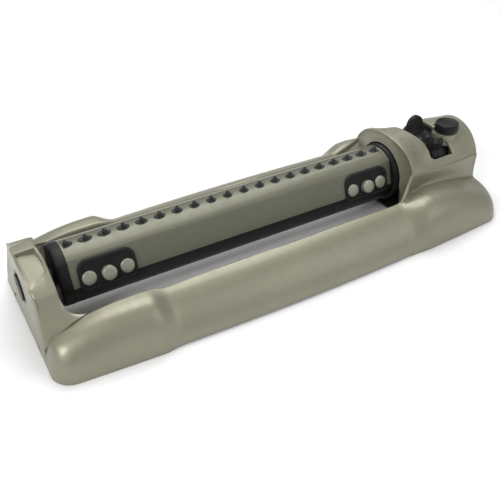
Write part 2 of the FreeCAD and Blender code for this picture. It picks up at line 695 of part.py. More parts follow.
def make_flush_plug(doc, s):
    """Screw-in plug with a coin slot that lets the tube be rinsed."""
    disc = rod(s, s.JournalRadius + 4, -s.end + 0.6, -s.end + 3.2)
    slot = box(-s.end, -s.end + 1.8, -8, 8, s.AxisHeight - 0.9, s.AxisHeight + 0.9)
    neck = rod(s, 5, -s.end + 3.2, -s.end + 12)
    return feature(doc, "flush_plug", disc.cut(slot).fuse(neck))


def make_end_hub(doc, s):
    """Round hub that closes the motor end of the tube inside the collar."""
    hub = rod(s, s.hub_radius, s.tube_end + 0.2, s.collar + 8)
    hub = hub.cut(rod(s, s.hub_radius - 2.5, s.tube_end + 3, s.collar + 9))
    hub = hub.fuse(rod(s, s.JournalRadius + 3, s.tube_end + 2, s.collar + 8))
    return feature(doc, "end_hub", hub.cut(rod(s, s.JournalRadius + 0.02, s.tube_end, s.collar + 9)))


def make_journal_motor(doc, s):
    """Hollow journal that feeds the tube and carries the drive gear."""
    step = s.collar + 8
    journal = rod(s, s.JournalRadius, s.tube_end - 14, step)
    journal = journal.fuse(rod(s, s.JournalRadius - 1, step, s.case_start + 16))
    journal = journal.cut(rod(s, 4.5, s.tube_end - 15, s.case_start + 17))
    return feature(doc, "journal_motor", journal.removeSplitter())


def make_shaft_seal(doc, s):
    x0 = s.collar + 9
    ring = rod(s, s.JournalRadius + 2, x0, x0 + 2.6)
    return feature(doc, "shaft_seal", ring.cut(rod(s, s.JournalRadius - 0.98, x0 - 1, x0 + 3)))


def make_drive_gear(doc, s):
    """Large gear on the tube's journal."""
    x0 = s.case_start + 8
    wheel = gear(s, s.WheelTeeth, -math.pi / 2, x0, x0 + 5)
    return feature(doc, "drive_gear", wheel.cut(rod(s, s.JournalRadius - 0.98, x0 - 1, x0 + 6)))


# ---------------------------------------------------------------- zone buttons

def facet(s):
    """Corner, downward run and outward normal of the cover's front facet."""
    k = s.CoverRadius / 28.5
    corner = V(0, -17.2 * k, s.AxisHeight + 22.8 * k)
    run = V(0, -8.1, -23.8)
    run.normalize()
    normal = V(0, run.z, -run.y)
    return corner, run, normal, k


def on_facet(s, shape, x):
    """Move a shape made with X along the tube, Y up the facet and Z outwards."""
    corner, run, normal, _ = facet(s)
    turn = FreeCAD.Rotation(V(1, 0, 0), -run, normal, "XYZ")
    placed = shape.copy()
    placed.Placement = FreeCAD.Placement(corner + V(x, 0, 0), turn).multiply(shape.Placement)
    return placed


def pod_block(s, x, grow, n0, n1, trim=0.0):
    """Rounded block that stands on the facet round three buttons."""
    k = s.CoverRadius / 28.5
    half = s.pod_half + grow - trim
    top = -3.0 * k + grow - trim
    bottom = -31.0 * k - grow + trim
    block = Part.makeBox(2 * half, top - bottom, n1 - n0, V(-half, bottom, n0))
    corner = [e for e in upright_edges(block) if e.Vertexes[0].Point.y > top - 1]
    return on_facet(s, block.makeFillet(9.5 + grow - trim, corner), x)


def button_spots(s, pod):
    return [pod - s.ButtonPitch, pod, pod + s.ButtonPitch]


def button_peg(s, radius, n0, n1):
    _, _, _, k = facet(s)
    return Part.makeCylinder(radius, n1 - n0, V(0, -18.8 * k, n0))


def make_pod(doc, s, name, pod):
    """Bezel with guide sleeves for three buttons."""
    block = pod_block(s, pod, 0, 0, 3.0)
    dish = pod_block(s, pod, 0, 1.0, 5.0, 3.2)
    block = block.cut(dish)
    for x in button_spots(s, pod):
        block = block.fuse(on_facet(s, button_peg(s, s.ButtonRadius + 1.5, -5.5, 0.5), x))
    for x in button_spots(s, pod):
        block = block.cut(on_facet(s, button_peg(s, s.ButtonRadius + s.SlideGap, -6, 9), x))
    return feature(doc, name, block.removeSplitter())


def make_button(doc, s, name, x, rise):
    """Button that slides in its sleeve, rise being how far it stands out."""
    peg = button_peg(s, s.ButtonRadius, rise - 8.0, rise)
    rim = [e for e in peg.Edges if len(e.Vertexes) == 1 and abs(e.Vertexes[0].Point.z - rise) < 1e-6]
    peg = peg.makeFillet(0.8, rim)
    return feature(doc, name, on_facet(s, peg, x))


def make_zone_buttons(doc, s):
    made = []
    names = (("left", s.pod_left), ("right", s.pod_right))
    for side, pod in names:
        for i, x in enumerate(button_spots(s, pod)):
            rise = 2.6 + (s.ButtonTravel if i == 1 else 0.0)
            made.append(make_button(doc, s, "button_%s_%d" % (side, i + 1), x, rise))
    return made


def build_all(doc, s):
    pods = (s.pod_left, s.pod_right)
    third = s.TabWidth / 2
    parts = [
        make_base(doc, s), make_bottom_plate(doc, s), make_plate_screws(doc, s),
        make_gear_cover(doc, s), make_bearing_bush(doc, s), make_motor_case(doc, s),
        make_motor_lid(doc, s), make_lay_pin(doc, s), make_gear_plate(doc, s),
        make_valve_body(doc, s), make_hose_washer(doc, s), make_inlet_filter(doc, s),
        make_lay_gear(doc, s), make_turbine(doc, s), make_coupling_nut(doc, s),
        range_tab(doc, s, "range_tab_rear", s.slot_mid - third + 1, -4.0),
        range_tab(doc, s, "range_tab_front", s.slot_mid + third - 10.5, 40.0),
        make_flow_knob(doc, s),
        make_tube_body(doc, s, pods), make_tube_cover(doc, s, pods),
        make_nozzle_strip(doc, s), make_nozzles(doc, s), make_end_cap(doc, s),
        make_journal_left(doc, s), make_flush_plug(doc, s), make_end_hub(doc, s),
        make_journal_motor(doc, s), make_shaft_seal(doc, s), make_drive_gear(doc, s),
        make_pod(doc, s, "button_pod_left", s.pod_left),
        make_pod(doc, s, "button_pod_right", s.pod_right),
    ]
    return parts + make_zone_buttons(doc, s)


def main():
    doc = FreeCAD.newDocument("Sprinkler")
    sizes = Layout(make_sheet(doc))
    parts = build_all(doc, sizes)
    doc.recompute()
    for obj in doc.Objects:
        if "Invalid" in obj.State or "Error" in obj.State:
            raise RuntimeError("failed object " + obj.Name)
    os.makedirs("parts", exist_ok=True)
    for part in parts:
        if part.Shape.isNull() or not part.Shape.isValid() or not part.Shape.Solids:
            raise RuntimeError("bad shape " + part.Label)
        part.Shape.exportStep("parts/%s.step" % part.Label)


main()
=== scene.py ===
"""Looks of the oscillating lawn sprinkler, laid out as an add-on and run as a script."""
import json
import math

import bpy
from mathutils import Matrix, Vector


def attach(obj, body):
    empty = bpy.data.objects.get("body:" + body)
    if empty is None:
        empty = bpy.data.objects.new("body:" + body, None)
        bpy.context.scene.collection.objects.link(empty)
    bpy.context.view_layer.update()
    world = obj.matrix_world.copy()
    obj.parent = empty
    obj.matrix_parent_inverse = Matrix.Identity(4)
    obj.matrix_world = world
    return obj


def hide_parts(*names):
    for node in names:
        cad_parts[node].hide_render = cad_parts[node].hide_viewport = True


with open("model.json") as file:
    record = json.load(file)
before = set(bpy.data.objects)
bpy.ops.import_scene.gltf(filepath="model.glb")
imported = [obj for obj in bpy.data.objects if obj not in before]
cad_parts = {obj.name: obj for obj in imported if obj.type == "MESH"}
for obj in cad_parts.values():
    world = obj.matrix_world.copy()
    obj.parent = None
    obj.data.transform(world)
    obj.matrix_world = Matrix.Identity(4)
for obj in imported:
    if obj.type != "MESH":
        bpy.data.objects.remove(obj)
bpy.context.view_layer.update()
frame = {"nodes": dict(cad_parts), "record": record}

bl_info = {
    "name": "Lawn Sprinkler",
    "version": (1, 0, 0),
    "blender": (4, 5, 0),
    "location": "View3D > Sidebar > Sprinkler",
    "description": "Builds the looks of an oscillating lawn sprinkler round its fixed frame",
    "category": "Object",
}

MM = 0.001
NO_MERGE = 0.0000001


# ------------------------------------------------------------------ sizes and colours

class SprinklerSizes(bpy.types.PropertyGroup):
    """Sizes that a user would change, in metres."""
    end: bpy.props.FloatProperty(
        name="Half length", description="Centre of the base to either end",
        default=0.242, unit="LENGTH")
    side: bpy.props.FloatProperty(
        name="Half width", description="Half width of the rails at their middle",
        default=0.0929, unit="LENGTH")
    rail_top: bpy.props.FloatProperty(
        name="Rail top", description="Height of the side rails", default=0.041, unit="LENGTH")
    foot_rise: bpy.props.FloatProperty(
        name="Foot rise", description="How much the feet stand above the rails",
        default=0.0036, unit="LENGTH")
    cover_radius: bpy.props.FloatProperty(
        name="Cover radius", description="Arch of the spray tube cover",
        default=0.0285, unit="LENGTH")
    dome_radius: bpy.props.FloatProperty(
        name="Dome radius", description="Arch of the motor housing", default=0.041, unit="LENGTH")


class SprinklerColours(bpy.types.PropertyGroup):
    """Colours of the finishes."""
    champagne: bpy.props.FloatVectorProperty(
        name="Champagne paint", description="Metallic paint of the base", subtype="COLOR",
        size=3, default=(0.245, 0.236, 0.170), min=0, max=1)
    tube: bpy.props.FloatVectorProperty(
        name="Tube paint", description="Metallic paint of the tube cover", subtype="COLOR",
        size=3, default=(0.142, 0.142, 0.102), min=0, max=1)
    button: bpy.props.FloatVectorProperty(
        name="Button silver", description="Paint of the zone buttons", subtype="COLOR",
        size=3, default=(0.29, 0.31, 0.24), min=0, max=1)
    black: bpy.props.FloatVectorProperty(
        name="Black plastic", description="Caps, pods, tabs and knob", subtype="COLOR",
        size=3, default=(0.0075, 0.0078, 0.0075), min=0, max=1)
    acetal: bpy.props.FloatVectorProperty(
        name="Gear plastic", description="Gears inside the motor", subtype="COLOR",
        size=3, default=(0.62, 0.58, 0.50), min=0, max=1)
    steel: bpy.props.FloatVectorProperty(
        name="Steel", description="Screws and pin", subtype="COLOR",
        size=3, default=(0.55, 0.55, 0.56), min=0, max=1)
    floor: bpy.props.FloatVectorProperty(
        name="Floor", description="Plain floor", subtype="COLOR",
        size=3, default=(0.80, 0.80, 0.80), min=0, max=1)


def sizes():
    return bpy.context.scene.sprinkler_sizes


def size(name):
    """One of the sizes in millimetres."""
    return round(getattr(sizes(), name) / MM, 3)


def colours():
    return bpy.context.scene.sprinkler_colours


# ------------------------------------------------------------------ shader maths

class Sock:
    """A socket or a number that adds Math nodes when it is used in an expression."""

    def __init__(self, tree, socket):
        self.tree = tree
        self.socket = socket

    def __mul__(self, other):
        node = self.tree.nodes.new("ShaderNodeMath")
        node.operation = "MULTIPLY"
        plug(self.tree, node.inputs[0], self)
        plug(self.tree, node.inputs[1], other)
        return Sock(self.tree, node.outputs[0])

    __rmul__ = __mul__

    def ranged(self, low, high, to_low=0.0, to_high=1.0):
        """to_low below low, to_high above high, smooth between."""
        node = self.tree.nodes.new("ShaderNodeMapRange")
        node.interpolation_type = "SMOOTHSTEP"
        plug(self.tree, node.inputs["Value"], self)
        for name, value in (("From Min", low), ("From Max", high),
                            ("To Min", to_low), ("To Max", to_high)):
            node.inputs[name].default_value = value
        return Sock(self.tree, node.outputs["Result"])


def plug(tree, slot, value):
    if isinstance(value, Sock):
        tree.links.new(value.socket, slot)
    elif value is not None:
        slot.default_value = value


class Finish:
    """One material, with the few node recipes the finishes share."""

    def __init__(self, name):
        self.material = bpy.data.materials.new(name)
        self.material.use_nodes = True
        self.tree = self.material.node_tree
        self.shader = self.tree.nodes["Principled BSDF"]
        self.place = self.node("ShaderNodeTexCoord").outputs["Object"]

    def node(self, kind, settings=None, inputs=None):
        made = self.tree.nodes.new(kind)
        for key, value in (settings or {}).items():
            setattr(made, key, value)
        for key, value in (inputs or {}).items():
            plug(self.tree, made.inputs[key], value)
        return made

    def noise(self, scale, detail=3.0, rough=0.5, stretch=None):
        place = Sock(self.tree, self.place)
        if stretch:
            mapped = self.node("ShaderNodeMapping", {}, {"Vector": place, "Scale": stretch})
            place = Sock(self.tree, mapped.outputs[0])
        made = self.node("ShaderNodeTexNoise", {"noise_dimensions": "3D"},
                         {"Vector": place, "Scale": scale, "Detail": detail, "Roughness": rough})
        return Sock(self.tree, made.outputs["Fac"])

    def height(self):
        parts = self.node("ShaderNodeSeparateXYZ", {}, {"Vector": Sock(self.tree, self.place)})
        return Sock(self.tree, parts.outputs["Z"])

    def pointiness(self):
        return Sock(self.tree, self.node("ShaderNodeNewGeometry").outputs["Pointiness"])

    def mix(self, factor, first, second):
        made = self.node("ShaderNodeMix", {"data_type": "RGBA"})
        plug(self.tree, made.inputs[0], factor)
        for slot, value in ((made.inputs[6], first), (made.inputs[7], second)):
            if isinstance(value, Sock):
                plug(self.tree, slot, value)
            else:
                slot.default_value = (*value, 1.0)
        return Sock(self.tree, made.outputs[2])

    def bump(self, height, strength, distance):
        made = self.node("ShaderNodeBump", {}, {"Height": height, "Strength": strength,
                                                "Distance": distance})
        plug(self.tree, self.shader.inputs["Normal"], Sock(self.tree, made.outputs[0]))

    def set(self, **values):
        for key, value in values.items():
            slot = self.shader.inputs[key.replace("_", " ")]
            if isinstance(value, tuple) and len(value) == 3:
                value = (*value, 1.0)
            plug(self.tree, slot, value)
        return self.material


def shade(colour, factor):
    return tuple(min(1.0, c * factor) for c in colour)


def metallic_paint(name, colour, rough, grain):
    """Champagne paint: metal flakes under a thin clear coat, a little dust low down."""
    finish = Finish(name)
    flakes = finish.noise(2600, 2.0, 0.7)
    cloud = finish.noise(18, 3.0, 0.55)
    scuffs = finish.noise(140, 5.0, 0.65, (1.0, 0.35, 1.0))
    base = finish.mix(flakes.ranged(0.35, 0.65), shade(colour, 0.90), shade(colour, 1.10))
    base = finish.mix(cloud.ranged(0.3, 0.7) * 0.35, base, shade(colour, 0.86))
    dust = finish.height().ranged(0.016, 0.001, 0.0, 0.22)
    base = finish.mix(dust * scuffs.ranged(0.35, 0.65), base, (0.33, 0.30, 0.24))
    finish.bump(flakes, grain, 0.0002)
    return finish.set(Base_Color=base, Metallic=0.55,
                      Roughness=scuffs.ranged(0.35, 0.75, rough - 0.03, rough + 0.06),
                      Coat_Weight=0.28, Coat_Roughness=0.20)


def black_plastic(name, colour, rough):
    """Moulded plastic with a fine spark-eroded grain and worn edges."""
    finish = Finish(name)
    grain = finish.noise(1700, 2.0, 0.6)
    smudge = finish.noise(60, 4.0, 0.6)
    edge = finish.pointiness().ranged(0.52, 0.60)
    base = finish.mix(smudge.ranged(0.35, 0.7) * 0.5, colour, shade(colour, 2.0))
    base = finish.mix(edge * 0.35, base, (0.03, 0.03, 0.03))
    finish.bump(grain, 0.12, 0.0002)
    return finish.set(Base_Color=base, Specular_IOR_Level=0.18,
                      Roughness=smudge.ranged(0.3, 0.75, rough - 0.05, rough + 0.10))


def rubber(name):
    finish = Finish(name)
    bloom = finish.noise(400, 3.0, 0.6)
    base = finish.mix(bloom.ranged(0.4, 0.8) * 0.6, (0.010, 0.010, 0.010), (0.026, 0.025, 0.024))
    finish.bump(bloom, 0.15, 0.0002)
    return finish.set(Base_Color=base, Roughness=bloom.ranged(0.3, 0.7, 0.55, 0.75))


def gear_plastic(name, colour):
    finish = Finish(name)
    flow = finish.noise(90, 3.0, 0.5)
    base = finish.mix(flow.ranged(0.3, 0.7), shade(colour, 0.92), shade(colour, 1.06))
    finish.bump(flow, 0.1, 0.0002)
    return finish.set(Base_Color=base, Roughness=flow.ranged(0.3, 0.7, 0.36, 0.5),
                      Subsurface_Weight=0.05)


def plain_steel(name, colour):
    finish = Finish(name)
    lines = finish.noise(900, 2.0, 0.5, (1.0, 1.0, 8.0))
    base = finish.mix(lines.ranged(0.3, 0.7), shade(colour, 0.8), shade(colour, 1.1))
    finish.bump(lines, 0.12, 0.0001)
    return finish.set(Base_Color=base, Metallic=1.0,
                      Roughness=lines.ranged(0.3, 0.7, 0.25, 0.42))


FINISHES = {}


def finishes():
    """Every finish by name, made once."""
    if not FINISHES:
        c = colours()
        FINISHES.update(
            champagne_metal=metallic_paint("champagne paint", tuple(c.champagne), 0.46, 0.10),
            tube_metal=metallic_paint("tube paint", tuple(c.tube), 0.48, 0.10),
            button_silver=metallic_paint("button silver", tuple(c.button), 0.42, 0.06),
            black_plastic=black_plastic("black plastic", tuple(c.black), 0.42),
            nut_plastic=black_plastic("nut plastic", shade(tuple(c.black), 1.5), 0.5),
            soft_rubber=rubber("soft rubber"),
            gear_plastic=gear_plastic("gear plastic", tuple(c.acetal)),
            screw_steel=plain_steel("screw steel", tuple(c.steel)),
            filter_mesh=plain_steel("filter steel", shade(tuple(c.steel), 0.9)),
        )
    return FINISHES


def wear(obj, slot):
    """Give a piece one finish all over."""
    obj.data.materials.clear()
    obj.data.materials.append(finishes()[slot])


# ------------------------------------------------------------------ the stage

def aim(obj, forward):
    obj.rotation_euler = forward.to_track_quat("-Z", "Y").to_euler()


class SPRINKLER_OT_stage(bpy.types.Operator):
    """Floor, studio light and camera"""
    bl_idname = "sprinkler.stage"
    bl_label = "Stage"

    def execute(self, context):
        scene = context.scene
        bpy.ops.object.select_all(action="DESELECT")
        bpy.ops.mesh.primitive_plane_add(size=30, location=(0, 0, 0))
        floor = context.object
        floor.name = "floor"
        ground = Finish("floor paint")
        haze = ground.noise(0.6, 2.0, 0.5)
        tone = tuple(colours().floor)
        ground.set(Base_Color=ground.mix(haze, tone, shade(tone, 0.985)), Roughness=0.9)
        floor.data.materials.append(ground.material)
        world = bpy.data.worlds.new("studio")
        world.use_nodes = True
        world.node_tree.nodes["Background"].inputs[0].default_value = (0.96, 0.98, 1.0, 1)
        world.node_tree.nodes["Background"].inputs[1].default_value = 0.42
        scene.world = world
        for name, place, wide, power in (
                ("key", (-1.25, -0.62, 0.95), 0.55, 14), ("fill", (0.9, -1.3, 0.9), 1.2, 6),
                ("top", (0.25, 0.60, 1.5), 1.4, 25)):
            light = bpy.data.lights.new(name, "AREA")
            light.size = wide
            light.energy = power
            lamp = bpy.data.objects.new(name, light)
            lamp.location = place
            aim(lamp, Vector((0, 0, 0.04)) - Vector(place))
            scene.collection.objects.link(lamp)
        lens = bpy.data.cameras.new("camera")
        lens.sensor_width = 36
        lens.lens = 47.95
        lens.clip_start = 0.01
        camera = bpy.data.objects.new("camera", lens)
        camera.location = (-0.2860, -0.4625, 0.4039)
        yaw = math.radians(30.03)
        pitch = math.radians(37.19)
        aim(camera, Vector((math.sin(yaw) * math.cos(pitch), math.cos(yaw) * math.cos(pitch),
                            -math.sin(pitch))))
        scene.collection.objects.link(camera)
        scene.camera = camera
        scene.view_settings.view_transform = "Standard"
        return {"FINISHED"}


# ------------------------------------------------------------------ modelling helpers

def only(obj):
    """Make a piece the one selected and active object."""
    bpy.ops.object.select_all(action="DESELECT")
    obj.select_set(True)
    bpy.context.view_layer.objects.active = obj


def grid_sheet(name, rows, close=False):
    """A primitive grid laid through rows of points; close joins the last row to the first."""
    if close:
        rows = list(rows) + [rows[0]]
    count = len(rows[0])
    bpy.ops.object.select_all(action="DESELECT")
    bpy.ops.mesh.primitive_grid_add(x_subdivisions=count - 1, y_subdivisions=len(rows) - 1)
    obj = bpy.context.object
    obj.name = name
    points = [Vector(p) for row in rows for p in row]
    for vertex, point in zip(obj.data.vertices, points):
        vertex.co = point
    obj.data.update()
    return obj


def join(pieces, merge=0.00002):
    """Join pieces into the first and close their doubles."""
    bpy.ops.object.select_all(action="DESELECT")
    for piece in pieces:
        piece.select_set(True)
    bpy.context.view_layer.objects.active = pieces[0]
    bpy.ops.object.join()
    obj = bpy.context.object
    edit(obj, lambda: bpy.ops.mesh.remove_doubles(threshold=merge))
    return obj


def edit(obj, *steps, select="SELECT"):
    """Run edit-mode operators on a piece with everything selected first."""
    only(obj)
    bpy.ops.object.mode_set(mode="EDIT")
    bpy.ops.mesh.select_all(action=select)
    for step in steps:
        step()
    bpy.ops.object.mode_set(mode="OBJECT")


def outward(obj):
    edit(obj, lambda: bpy.ops.mesh.normals_make_consistent(inside=False))


def apply_modifier(obj, kind, **settings):
    only(obj)
    modifier = obj.modifiers.new(kind.lower(), kind)
    for key, value in settings.items():
        setattr(modifier, key, value)
    bpy.ops.object.modifier_apply(modifier=modifier.name)


def smooth(obj, degrees=40):
    only(obj)
    bpy.ops.object.shade_smooth_by_angle(angle=math.radians(degrees))


def settle(obj):
    """Put a piece's place into its mesh."""
    only(obj)
    bpy.ops.object.transform_apply(location=True, rotation=True, scale=True)


def finish_piece(obj, name, body, slot, *nodes):
    """Name a piece, give it its finish, and tie it to its body and the nodes it stands for."""
    settle(obj)
    obj.name = name
    obj.data.name = name
    wear(obj, slot)
    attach(obj, body)
    if nodes:
        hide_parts(*nodes)
    return obj


def blend_step(low, high, value):
    """Smooth 0 to 1 as value goes from low to high; low may be the larger."""
    t = min(1.0, max(0.0, (value - low) / (high - low)))
    return t * t * (3 - 2 * t)


def spread(start, stop, count):
    return [start + (stop - start) * i / (count - 1) for i in range(count)]


def lerp(a, b, t):
    return a + (b - a) * t


def path_point(path, t):
    """Point at t from 0 to 1 along a path, by the share of its points."""
    place = t * (len(path) - 1)
    i = min(int(place), len(path) - 2)
    return [lerp(a, b, place - i) for a, b in zip(path[i], path[i + 1])]


def in_metres(rows):
    return [[(x * MM, y * MM, z * MM) for x, y, z in row] for row in rows]


# ------------------------------------------------------------------ base

CORNER = 17.0
END_NARROWING = 10.0
GAP_HALF = 55.0
GAP_CORNER = 27.0
TOWER_CORNER = 17.0
TOWER_IN = -219.0
COLLAR = 140.5
AXIS = 44.0
LEDGE = 54.0

CREST = ((100, 41.0), (120, 41.6), (135, 43.6), (150, 45.4), (165, 44.9), (184, 42.3),
         (207, 35.6), (225, 29.0), (235, 25.8), (242, 23.6))
VALLEY = ((100, 41.0), (120, 40.6), (130, 41.0), (140, 41.3), (148, 40.6), (159, 39.4),
          (182, 39.2), (197, 38.0), (212, 35.0), (227, 30.8), (242, 26.0))
COLLAR_CREASE = ((121, 58.2, 39.6), (122.5, 57.6, 40.6), (127, 55.5, 45), (133, 52, 51),
                 (138, 49, 56), (143, 46, 61.4))


def table(rows, x, column=1):
    """Value between the rows of a table whose first column rises."""
    if x <= rows[0][0]:
        return rows[0][column]
    for low, high in zip(rows, rows[1:]):
        if x <= high[0]:
            share = (x - low[0]) / (high[0] - low[0])
            return lerp(low[column], high[column], share)
    return rows[-1][column]


def foot_share(x):
    """0 along the rails to 1 on the feet."""
    return blend_step(-132, -154, x) + blend_step(114, 142, x)


def base_width(x):
    """Half width of the footprint at x."""
    end = size("end")
    far = size("side") - END_NARROWING * (x / end) ** 2 + 1.6 * foot_share(x)
    start = end - CORNER
    if abs(x) > start:
        far -= CORNER - math.sqrt(max(0.0, CORNER ** 2 - (abs(x) - start) ** 2))
    return far


def top_height(x):
    """Height of the crest of the rails and feet at x."""
    if x > 100:
        top = table(CREST, x)
        return top * (1 if x < 240.5 else math.sqrt(max(0.0, 1 - ((x - 240.5) / 1.6) ** 2)))
    away = size("end") + x
    top = size("rail_top") + size("foot_rise") * foot_share(x)
    if away < 75:
        top *= 1 - 0.36 * (1 - away / 75) ** 2
    if away < 9:
        top *= math.sqrt(max(0.0, 1 - (1 - away / 9) ** 2))
    return top


def shoulder(depth, foot=1.0):
    """Share of the full height at a depth in from the side, softer on the rails than the feet."""
    shares = []
    for deep, power in ((37.0, 1.72), (25.0, 2.15)):
        rest = max(0.0, 1 - depth / deep)
        shares.append(max(0.0, 1 - rest ** power) ** (1 / power))
    return lerp(shares[0], shares[1], foot)


def gap_edge(x):
    """Half width of the opening at x."""
    corner = TOWER_CORNER if x < 0 else GAP_CORNER
    away = max(TOWER_IN + corner - x, x - COLLAR + corner, 0.0)
    if away >= corner:
        return GAP_HALF - corner
    return GAP_HALF - corner + math.sqrt(corner ** 2 - away ** 2)


def outer_columns(x, inner, top):
    """Points of the skin from the ground in to a half width, side wall first."""
    wide = base_width(x)
    lift = blend_step(-147.0, -146.0, x) * blend_step(117.0, 116.0, x)
    ground = 2.6 * lift
    depths = (0.0, 0.35, 1.0, 2.2, 4.0, 6.5, 9.5, 13.0, 17.0, 21.5, 26.0)
    squeeze = min(1.0, (wide - inner) / 32)
    foot = foot_share(x)
    points = [(x, -wide, ground), (x, -wide, min(3.2, top))]
    for depth in depths[1:]:
        d = depth * squeeze
        points.append((x, -(wide - d), max(min(3.2, top), top * shoulder(d, foot))))
    last = wide - depths[-1] * squeeze
    for share in (0.2, 0.4, 0.6, 0.8, 0.94, 1.0):
        y = lerp(last, inner, share)
        points.append((x, -y, top * shoulder(wide - y, foot)))
    return points


def rail_row(x):
    """Row of the skin along the opening, down its inner flange."""
    edge = gap_edge(x)
    top = top_height(x)
    points = outer_columns(x, edge + 3.2, top)
    for dy, dz in ((2.2, 0.15), (1.1, 0.8), (0.35, 2.0), (0.0, 4.0), (0.0, 12.0), (0.2, 29.0)):
        points.append((x, -(edge + dy), max(8.0, top - dz)))
    return points


def hood_rim(x):
    """Half width and height of the top of the housing wall at x."""
    if x <= 143:
        return table(COLLAR_CREASE, x), table(COLLAR_CREASE, x, 2)
    fade = blend_step(142.6, 166, x)
    return lerp(46, 40 - 3.2 * blend_step(205, 242, x), fade), lerp(61.4, LEDGE, fade)


def motor_row(x):
    """Row of the skin beside the collar and the motor housing, up the housing's wall."""
    wall, rim = hood_rim(x)
    top = top_height(x)
    foot = min(table(VALLEY, x), rim - 0.3)
    points = []
    for px, py, pz in outer_columns(x, min(wall + 2.2, base_width(x) - 4), top):
        dip = blend_step(64, wall + 2.5, -py)
        points.append((px, py, lerp(pz, min(pz, foot) if top > foot else max(pz, foot), dip)))
    height = rim - foot
    for out, up in ((1.35, 0.035), (0.75, 0.10), (0.3, 0.2), (0.05, 0.36), (0.0, 0.6), (0.0, 0.9),
                    (0.12, 0.97), (0.5, 1.0)):
        lean = out if up < 0.5 else -out
        points.append((x, -(wall + lean), foot + height * up))
    points += [(x, -(wall - 2.6), rim), (x, -(wall - 2.6), rim - 7.0)]
    return points


def stations(start, stop, extra=(), pitch=5.0):
    """Places from start to stop, at every mark between them and no further apart than pitch."""
    marks = sorted(set([start, stop] + [m for m in extra if start < m < stop]))
    out = []
    for a, b in zip(marks, marks[1:]):
        out += spread(a, b, max(1, round((b - a) / pitch)) + 1)[:-1]
    return out + [marks[-1]]


def rail_stations():
    marks = [-241.9, -241.6, -241, -240, -238, -235.5, -233, -229, -225, -222]
    marks += [TOWER_IN + TOWER_CORNER * (1 - math.cos(math.radians(a)))
              for a in (12, 24, 36, 48, 60, 75, 90)]
    marks += [-152, -149, -147, -146.5, -146, -143, -140, -137, -134]
    marks += [100, 104, 108, 112, 114, 116, 116.5, 117, 119]
    return stations(-size("end"), 121, marks)


def motor_stations():
    marks = [122.5, 125, 127, 130, 133, 135.5, 138, 140.5, 143, 145, 147, 150, 154, 158]
    marks += [225, 229, 233, 235.5, 238, 240, 240.8, 241.3, 241.7]
    return stations(121, size("end"), marks)


def crease_line():
    """Outer edge of the collar face from the middle of its top down to the rail."""
    line = [(143, 0, 85.3), (143, 7, 85.1), (143, 13.5, 84.4), (143, 22, 82.5), (143, 30, 79.7),
            (143, 36, 75.6), (143, 41, 70.4), (143, 44, 66.2)]
    return line + [(x, y, z) for x, y, z in reversed(COLLAR_CREASE)]


def collar_rows():
    """Rows of the collar face, from its outer crease in to the hole's lip."""
    outer = [(x, -y, z) for x, y, z in crease_line()]
    inner = [(COLLAR, -31.5 * math.sin(math.radians(a)), AXIS + 31.5 * math.cos(math.radians(a)))
             for a in (0, 14, 28, 42, 56, 70, 82, 96)]
    inner += [(139.2, -36.5, 36.4), (135.0, -44.0, 36.8), (128.5, -50.2, 37.8),
              (121.0, -53.8, 39.0), (115.0, -55.0, 40.0)]
    rows = []
    for i in range(65):
        t = i / 64
        far = path_point(outer, t)
        near = path_point(inner, t)
        drop = blend_step(0.5, 0.75, t)
        row = [(far[0] + 1.4, far[1] * 0.995, far[2] - 1.8), (far[0] + 0.35, far[1], far[2] - 0.25),
               (far[0] - 0.1, far[1] * 0.992, far[2] - 0.35)]
        for share in (0.07, 0.2, 0.4, 0.65, 0.9, 0.97, 1.0):
            bow = math.sin(math.pi * share)
            row.append((lerp(far[0], near[0], share) + bow,
                        lerp(far[1], near[1], share) + 1.2 * bow * drop,
                        lerp(far[2], near[2], share) - 0.35 * (1 - share)))
        row.append((near[0] + lerp(0.7, 0.1, drop), near[1] * lerp(0.985, 1, drop), near[2] - 0.4 * drop))
        row.append((near[0] + lerp(2.6, 0.2, drop), near[1] * lerp(0.98, 1, drop), near[2] - 24 * drop))
        rows.append(row)
    return rows


PANEL_TOP = 7.6
TOWER_TOP = 84.0
TOWER_ACROSS = (0, 0.05, 0.12, 0.14, 0.35, 0.6, 0.94, 0.97, 1)
SLOPE = 24 / 36
TOWER_TILT = 3.2
TOWER_INNER = ((0, -221.3), (7, -221.0), (16, -218.6), (30, -218.0), (43, -218.0))
TOWER_OUTER = ((0, -240.2), (7, -240.0), (20, -239.2), (43, -237.6))


def slope_height(y):
    """Height of the tower's sloped side at a distance from its middle."""
    return TOWER_TOP if y < 7 else TOWER_TOP - (y - 7) * SLOPE


